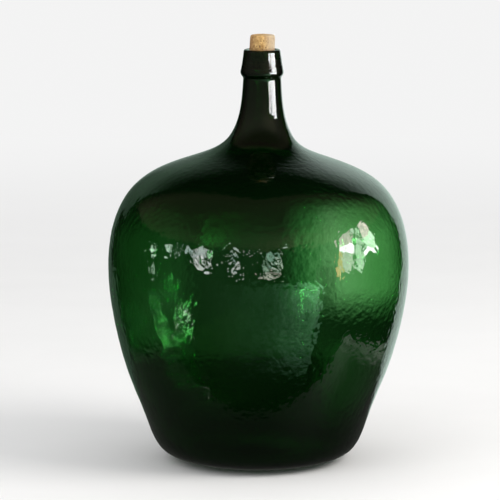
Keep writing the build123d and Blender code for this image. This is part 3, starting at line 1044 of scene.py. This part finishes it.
# Painted sparks: small glowing points where the wavy back wall would gather the big window into sparks; azimuth,
# elevation and strength. Only rays that come from inside the glass meet them.
SPARKS = [
    (99.0, 1.1, 1.2), (98.4, 4.5, 1), (97.6, 5.5, 1), (95.7, 7.3, 1.6), (95.1, 9.0, 1.2),
    (95.1, 11.1, 1.6), (95.9, 12.7, 1.4), (75.7, 9.0, 1.2), (75.9, 9.7, 2.2), (75.5, 10.4, 2.2),
    (77.9, 12.9, 1.2), (80.8, 14.4, 1.4), (65.1, 10.2, 2.0), (65.9, 10.8, 1.4), (67.0, 13.1, 1.8),
    (65.6, 14.5, 2.2), (66.8, 16.2, 1),
]
PANE_DIST = 1.7


def build_windows():
    verts, faces, glow = [], [], []
    for light, corners in PANES:
        n = len(verts)
        # closer panes lie in front of the ones they overlap
        dist = PANE_DIST - 0.0006 * len(faces)
        for az, el in corners:
            a = math.radians(az)
            verts.append((math.sin(a) * dist, -math.cos(a) * dist,
                          0.30 + math.tan(math.radians(el)) * dist))
            glow.append(light)
        faces.append(tuple(range(n, n + len(corners))))
    deep = [0.0] * len(verts)
    for az, el, power in SPARKS:
        n = len(verts)
        for k in range(6):
            a = math.radians(az + 1.0 * math.cos(k * TAU / 6))
            verts.append((math.sin(a) * 1.66, -math.cos(a) * 1.66,
                          0.30 + math.tan(math.radians(el + 1.5 * math.sin(k * TAU / 6))) * 1.66))
            glow.append((0.0, 0.0, 0.0))
            deep.append(power * SPARK_POWER)
        faces.append(tuple(range(n, n + 6)))
    ob = mesh_object("room_windows", verts, faces, False)
    far = ob.data.attributes.new("deep", "FLOAT", "POINT")
    far.data.foreach_set("value", np.array(deep, dtype=np.float32))
    at = ob.data.attributes.new("glow", "FLOAT_VECTOR", "POINT")
    at.data.foreach_set("vector", np.array(glow, dtype=np.float32).ravel())
    mat = bpy.data.materials.new("room_windows")
    nt = nodes_of(mat)
    out = nt.nodes.new("ShaderNodeOutputMaterial")
    em = nt.nodes.new("ShaderNodeEmission")
    geo = nt.nodes.new("ShaderNodeNewGeometry")
    pos = nt.nodes.new("ShaderNodeSeparateXYZ")
    nt.links.new(geo.outputs["Position"], pos.inputs[0])
    inc = nt.nodes.new("ShaderNodeSeparateXYZ")
    nt.links.new(geo.outputs["Incoming"], inc.inputs[0])
    q, z0, _ = leaving(nt, pos.outputs, inc.outputs)
    lp, mirrored, through, inner = ray_kind(nt)
    calm = not_skimming(nt, q, geo.outputs["Incoming"])
    light = nt.nodes.new("ShaderNodeAttribute")
    light.attribute_name = "glow"
    # folds of the curtains and leaves outside
    folds = ramp(nt, noise_of(nt, geo.outputs["Position"], 26.0, 2.0, (1, 1, 0.35), 4.0), 0.36, 0.62)
    # seen from inside the glass, the pane's light is cut by a thresholded noise into painted glints
    fine = mixf(nt, inner, add(nt, mul(nt, folds, 0.60), 0.78),
                add(nt, mul(nt, ramp(nt, noise_of(nt, geo.outputs["Position"], 8.0, 1.0, (1, 1, 0.8), 11.0),
                                     GLINT_LO, GLINT_HI), GLINT_GAIN), GLINT_BASE))
    spark = nt.nodes.new("ShaderNodeAttribute")
    spark.attribute_name = "deep"
    is_spark = math_node(nt, "GREATER_THAN", spark.outputs["Fac"], 0.5)
    nt.links.new(mix_colour(nt, is_spark, light.outputs["Vector"], (1.0, 1.0, 1.0, 1)),
                 em.inputs["Color"])
    nt.links.new(mul(nt, calm, mixf(nt, is_spark, fine, spark.outputs["Fac"])),
                 em.inputs["Strength"])
    clear = nt.nodes.new("ShaderNodeBsdfTransparent")
    both = nt.nodes.new("ShaderNodeMixShader")
    seen = mixf(nt, is_spark, 1.0, inner)
    # the heel's wall is too thick and dark to hand the window on
    seen = mul(nt, seen, mixf(nt, inner, 1.0, ramp(nt, z0, 0.10, 0.15)))
    nt.links.new(mul(nt, mirrored, seen, ramp(nt, z0, 0.385, 0.405, True)), both.inputs[0])
    nt.links.new(clear.outputs[0], both.inputs[1])
    nt.links.new(em.outputs[0], both.inputs[2])
    nt.links.new(both.outputs[0], out.inputs["Surface"])
    ob.data.materials.append(mat)
    ob.visible_camera = False
    ob.visible_diffuse = False
    ob.visible_shadow = False
    return ob


# Mirrored inside the wall, a window shows as painted glints, cut from its light by a thresholded noise.
GLINT_LO, GLINT_HI, GLINT_GAIN, GLINT_BASE = 0.70, 0.72, 8.0, 0.003
SPARK_POWER = 60.0
windows = build_windows()


def streak(nt, s, t, pos):
    wave = add(nt, noise_of(nt, pos, 9.0, 2.0, None, 6.0), -0.5)
    ragged = add(nt, s, mul(nt, wave, 0.28))
    line = ramp(nt, math_node(nt, "ABSOLUTE", add(nt, ragged, -0.30)), 0.02, 0.07)
    return mul(nt, ramp(nt, ragged, 0.03, 0.09), ramp(nt, s, 0.96, 0.99, True),
               add(nt, mul(nt, line, 0.7), 0.3)), None


card("neck_streak", 38, 84, -14, 13, 2.4, 20.0, (1.0, 1.0, 1.0), streak, "neck", 0.2)


def area_light(name, loc, target, size, power, color=(1, 1, 1)):
    li = bpy.data.lights.new(name, "AREA")
    li.shape = "RECTANGLE"
    li.size, li.size_y = size
    li.energy = power
    li.color = color
    ob = bpy.data.objects.new(name, li)
    bpy.context.scene.collection.objects.link(ob)
    ob.location = loc
    d = Vector(target) - Vector(loc)
    ob.rotation_mode = "QUATERNION"
    ob.rotation_quaternion = d.to_track_quat("-Z", "Y")
    ob.visible_glossy = False
    ob.visible_transmission = False
    ob.visible_camera = False
    return ob


area_light("key", (1.9, -0.9, 1.7), (0, 0, 0.35), (1.4, 1.4), 42.0, (1.0, 0.97, 0.93))
area_light("fill", (-1.6, -1.8, 1.8), (0, 0, 0.3), (2.0, 2.0), 14.0)

# ---------------------------------------------------------------------------
# Camera, in front and a little above.
cam_data = bpy.data.cameras.new("camera")
cam = bpy.data.objects.new("camera", cam_data)
bpy.context.scene.collection.objects.link(cam)
bpy.context.scene.camera = cam
cam_data.sensor_width = 36.0
cam_data.lens = LENS
cam_data.clip_start, cam_data.clip_end = 0.1, 60.0
cam.location = Vector(CAM)
cam.rotation_mode = "QUATERNION"
cam.rotation_quaternion = (Vector(AIM) - cam.location).to_track_quat("-Z", "Y")
cam_data.shift_x = -(CENTRE[0] - 250.0) / 500.0
cam_data.shift_y = (CENTRE[1] - 250.0) / 500.0

sc = bpy.context.scene
sc.view_settings.view_transform = "Standard"
sc.view_settings.look = "None"
sc.cycles.max_bounces = 24
sc.cycles.transmission_bounces = 20
sc.cycles.glossy_bounces = 12
